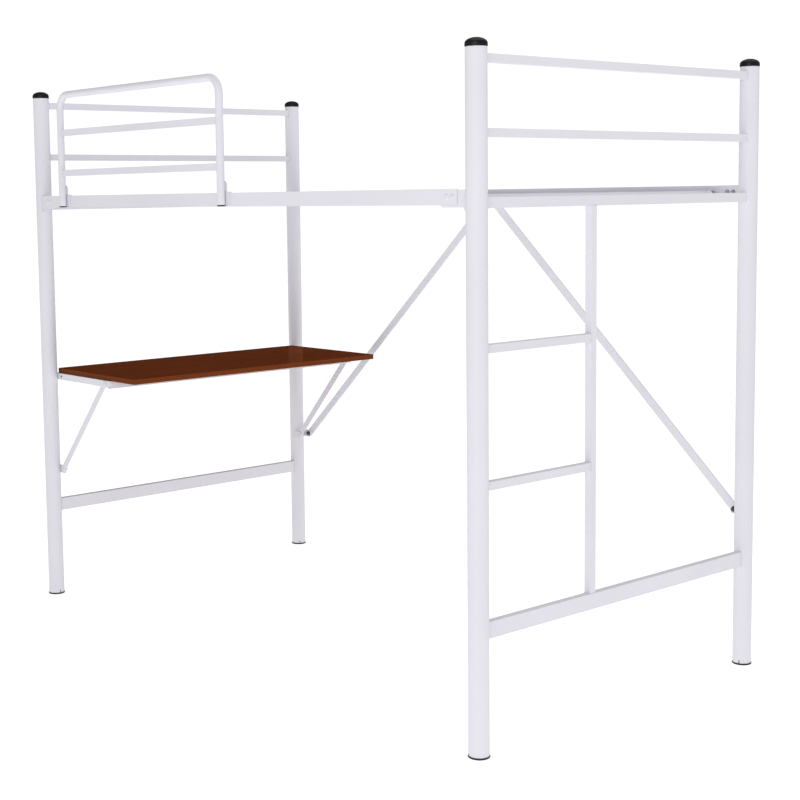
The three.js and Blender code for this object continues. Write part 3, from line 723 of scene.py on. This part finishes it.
def rail_bolts():
    """Two bolts through each end of each side rail: coated heads outside, nuts inside."""
    for side, sense in (("near", -1), ("far", 1)):
        rail_low, rail_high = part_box(f"side_rail_{side}")
        bolts = BoltSet(f"rail_bolt_{side}", 6.5 * MM, 5.8 * MM, WHITE, "white_steel", ZINC)
        head_face = rail_low.y if sense < 0 else rail_high.y
        for end, x_sense in (("left", -1), ("right", 1)):
            bracket_low, bracket_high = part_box(f"rail_bracket_{side}_{end}")
            web = bracket_low.y if sense < 0 else bracket_high.y
            nut_face = web - sense * PLATE_THICKNESS
            for x in RAIL_BOLTS_X:
                bolts.add(x_sense * x, RAIL_BOLT_Z, head_face, nut_face)
        bolts.finish()


def brace_bolts():
    """One bolt through each brace's foot and its tab: head outside, nut towards the open side."""
    bolts = BoltSet("brace_bolt", 8.0 * MM, 6.8 * MM, ZINC, "plated_steel", DARK_STEEL)
    for end, sense in (("left", -1), ("right", 1)):
        tab_low, tab_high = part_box(f"brace_tab_{end}")
        tip = tab_high.x if sense < 0 else tab_low.x
        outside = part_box(f"brace_{end}")[1].y
        bolts.add(tip + sense * TAB_REACH, (tab_low.z + tab_high.z) / 2, outside, tab_low.y)
    bolts.finish()


def desk_bolts():
    """Bolts at both ends of the struts and at the back of the arms, their heads towards the open side."""
    strut_bolts = BoltSet("strut_bolt", 5.4 * MM, 5.2 * MM, WHITE, "white_steel", DARK_STEEL)
    arm_bolts = BoltSet("arm_bolt", 3.4 * MM, 5.0 * MM, DARK_STEEL, "plated_steel", DARK_STEEL)
    for side in ("near", "far"):
        strut_low, strut_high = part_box(f"desk_strut_{side}")
        tab_low, tab_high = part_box(f"desk_strut_tab_{side}")
        strut_bolts.add(
            tab_high.x - TAB_REACH, (tab_low.z + tab_high.z) / 2,
            min(strut_low.y, tab_low.y), max(strut_high.y, tab_high.y),
        )
        arm_low, arm_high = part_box(f"desk_arm_{side}")
        web_low = arm_low.y if side == "near" else arm_high.y - PLATE_THICKNESS
        web_high = arm_low.y + PLATE_THICKNESS if side == "near" else arm_high.y
        strut_bolts.add(
            strut_high.x - STRUT_END, strut_high.z - STRUT_END,
            min(web_low, strut_low.y), max(web_high, strut_high.y),
        )
        plate_low, plate_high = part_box(f"desk_arm_tab_{side}")
        arm_bolts.add(
            plate_high.x - TAB_REACH, plate_high.z - ARM_BOLT_DEPTH,
            min(web_low, plate_low.y), max(web_high, plate_high.y),
        )
    strut_bolts.finish()
    arm_bolts.finish()


def board_screws():
    """Screws up through the arms' flanges into the board."""
    head_radius, head_height = 4.2 * MM, 2.2 * MM
    from_web, from_back, from_front = 14 * MM, 80 * MM, 75 * MM
    screws = bmesh.new()
    for side in ("near", "far"):
        low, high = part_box(f"desk_arm_{side}")
        y = low.y + from_web if side == "near" else high.y - from_web
        under = high.z - PLATE_THICKNESS
        for x in (low.x + from_back, (low.x + high.x) / 2, high.x - from_front):
            domed_head(screws, facing((x, y, under), (0, 0, -1)), head_radius, head_height)
    add_hardware("board_screws", screws, ZINC)


rail_bolts()
brace_bolts()
desk_bolts()
board_screws()


# ---- The desk board's edge strip -----------------------------------------------------------------------

def board_outline(low, high, corner, gap):
    """Points and outward directions round the board, from one side of its back joint to the other."""
    corner_steps = 8
    middle_y = (low.y + high.y) / 2
    stations = [(Vector((low.x, middle_y + gap / 2)), Vector((-1, 0)))]
    for x, y, start in (
        (low.x + corner, high.y - corner, 180), (high.x - corner, high.y - corner, 90),
        (high.x - corner, low.y + corner, 0), (low.x + corner, low.y + corner, -90),
    ):
        for k in range(corner_steps + 1):
            angle = math.radians(start - 90 * k / corner_steps)
            direction = Vector((math.cos(angle), math.sin(angle)))
            stations.append((Vector((x, y)) + corner * direction, direction))
    stations.append((Vector((low.x, middle_y - gap / 2)), Vector((-1, 0))))
    return stations


def edge_strip():
    """The glued strip round the board, with its butt joint in the middle of the back."""
    low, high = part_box("desk_board")
    proud, root = 0.45 * MM, -0.8 * MM
    margin, chamfer, joint_gap = 0.12 * MM, 0.3 * MM, 0.5 * MM
    top, bottom = high.z - margin, low.z + margin
    profile = [
        (root, bottom), (proud - chamfer, bottom), (proud, bottom + chamfer),
        (proud, top - chamfer), (proud - chamfer, top), (root, top),
    ]
    mesh = bmesh.new()
    rings = [
        [mesh.verts.new((*(point + direction * out), z)) for out, z in profile]
        for point, direction in board_outline(low, high, BOARD_CORNER, joint_gap)
    ]
    for a, b in zip(rings, rings[1:]):
        for k in range(len(profile)):
            n = (k + 1) % len(profile)
            mesh.faces.new((a[k], a[n], b[n], b[k]))
    mesh.faces.new(rings[0])
    mesh.faces.new(rings[-1][::-1])
    add_piece("desk_edge_strip", mesh, BANDING_PAINTED_LIGHT, FRAME_BODY, smooth_angle=40.0)


edge_strip()


# ---- Floor, light and camera ---------------------------------------------------------------------------

def add_floor():
    """A plain white studio floor."""
    grid = bmesh.new()
    bmesh.ops.create_grid(grid, x_segments=8, y_segments=8, size=FLOOR_REACH)
    mesh = mesh_from("floor", grid)
    floor = bpy.data.objects.new("floor", mesh)
    bpy.context.scene.collection.objects.link(floor)
    material = bpy.data.materials.new("pale_floor")
    material.use_nodes = True
    shader = material.node_tree.nodes["Principled BSDF"]
    shader.inputs["Base Color"].default_value = (0.9, 0.9, 0.9, 1.0)
    shader.inputs["Roughness"].default_value = 0.9
    shader.inputs["Specular IOR Level"].default_value = 0.0
    shader.inputs["Emission Color"].default_value = (1.0, 1.0, 1.0, 1.0)
    shader.inputs["Emission Strength"].default_value = FLOOR_GLOW
    mesh.materials.append(material)


def add_world():
    """Even white studio light with a darker room in its reflections; the backdrop is plain white."""
    world = bpy.data.worlds.new("studio")
    bpy.context.scene.world = world
    world.use_nodes = True
    nodes, links = world.node_tree.nodes, world.node_tree.links
    nodes.clear()
    output = nodes.new("ShaderNodeOutputWorld")
    ray = nodes.new("ShaderNodeLightPath")
    surface = None
    for wanted, colour, strength in (
        (None, (0.985, 0.985, 1.0), WORLD_LIGHT),
        ("Is Glossy Ray", (1.0, 1.0, 1.0), WORLD_REFLECTION),
        ("Is Camera Ray", (1.0, 1.0, 1.0), BACKDROP),
    ):
        background = nodes.new("ShaderNodeBackground")
        background.inputs["Color"].default_value = (*colour, 1.0)
        background.inputs["Strength"].default_value = strength
        if surface is None:
            surface = background.outputs["Background"]
            continue
        chosen = nodes.new("ShaderNodeMixShader")
        links.new(ray.outputs[wanted], chosen.inputs["Fac"])
        links.new(surface, chosen.inputs[1])
        links.new(background.outputs["Background"], chosen.inputs[2])
        surface = chosen.outputs["Shader"]
    links.new(surface, output.inputs["Surface"])


def add_area(name, place, target, size, power):
    """A square light at a place, turned towards a target."""
    data = bpy.data.lights.new(name, "AREA")
    data.shape = "SQUARE"
    data.size = size
    data.energy = power
    lamp = bpy.data.objects.new(name, data)
    lamp.location = place
    lamp.rotation_euler = (Vector(target) - Vector(place)).to_track_quat("-Z", "Y").to_euler()
    bpy.context.scene.collection.objects.link(lamp)


def add_camera():
    """The camera stands where it sees the ladder end and the open side."""
    yaw, pitch, roll = (math.radians(a) for a in (CAMERA_YAW, CAMERA_PITCH, CAMERA_ROLL))
    heading = (math.cos(pitch) * math.cos(yaw), math.cos(pitch) * math.sin(yaw), math.sin(pitch))
    forward = Vector(heading)
    level = Vector((math.sin(yaw), -math.cos(yaw), 0.0))
    upright = level.cross(forward)
    right = math.cos(roll) * level + math.sin(roll) * upright
    up = -math.sin(roll) * level + math.cos(roll) * upright
    data = bpy.data.cameras.new("camera")
    data.lens = CAMERA_LENS
    data.sensor_width = 36.0
    data.shift_x, data.shift_y = CAMERA_SHIFT
    camera = bpy.data.objects.new("camera", data)
    bed_centre = (middle("post_near_left") + middle("post_far_right")) / 2
    place = Vector(CAMERA_PLACE) + Vector((bed_centre.x, bed_centre.y, 0.0))
    columns = (right, up, -forward)
    rotation = Matrix([[c[i] for c in columns] for i in range(3)]).to_4x4()
    camera.matrix_world = Matrix.Translation(place) @ rotation
    bpy.context.scene.collection.objects.link(camera)
    bpy.context.scene.camera = camera


add_floor()
add_world()
add_area("key", place=(2.9, -3.6, 2.0), target=(0.2, 0.0, 0.9), size=2.2, power=KEY_POWER)
add_area("top", place=(1.1, 0.5, 4.2), target=(0.2, 0.0, 0.0), size=4.0, power=TOP_POWER)
add_camera()
bpy.context.scene.view_settings.view_transform = "Standard"
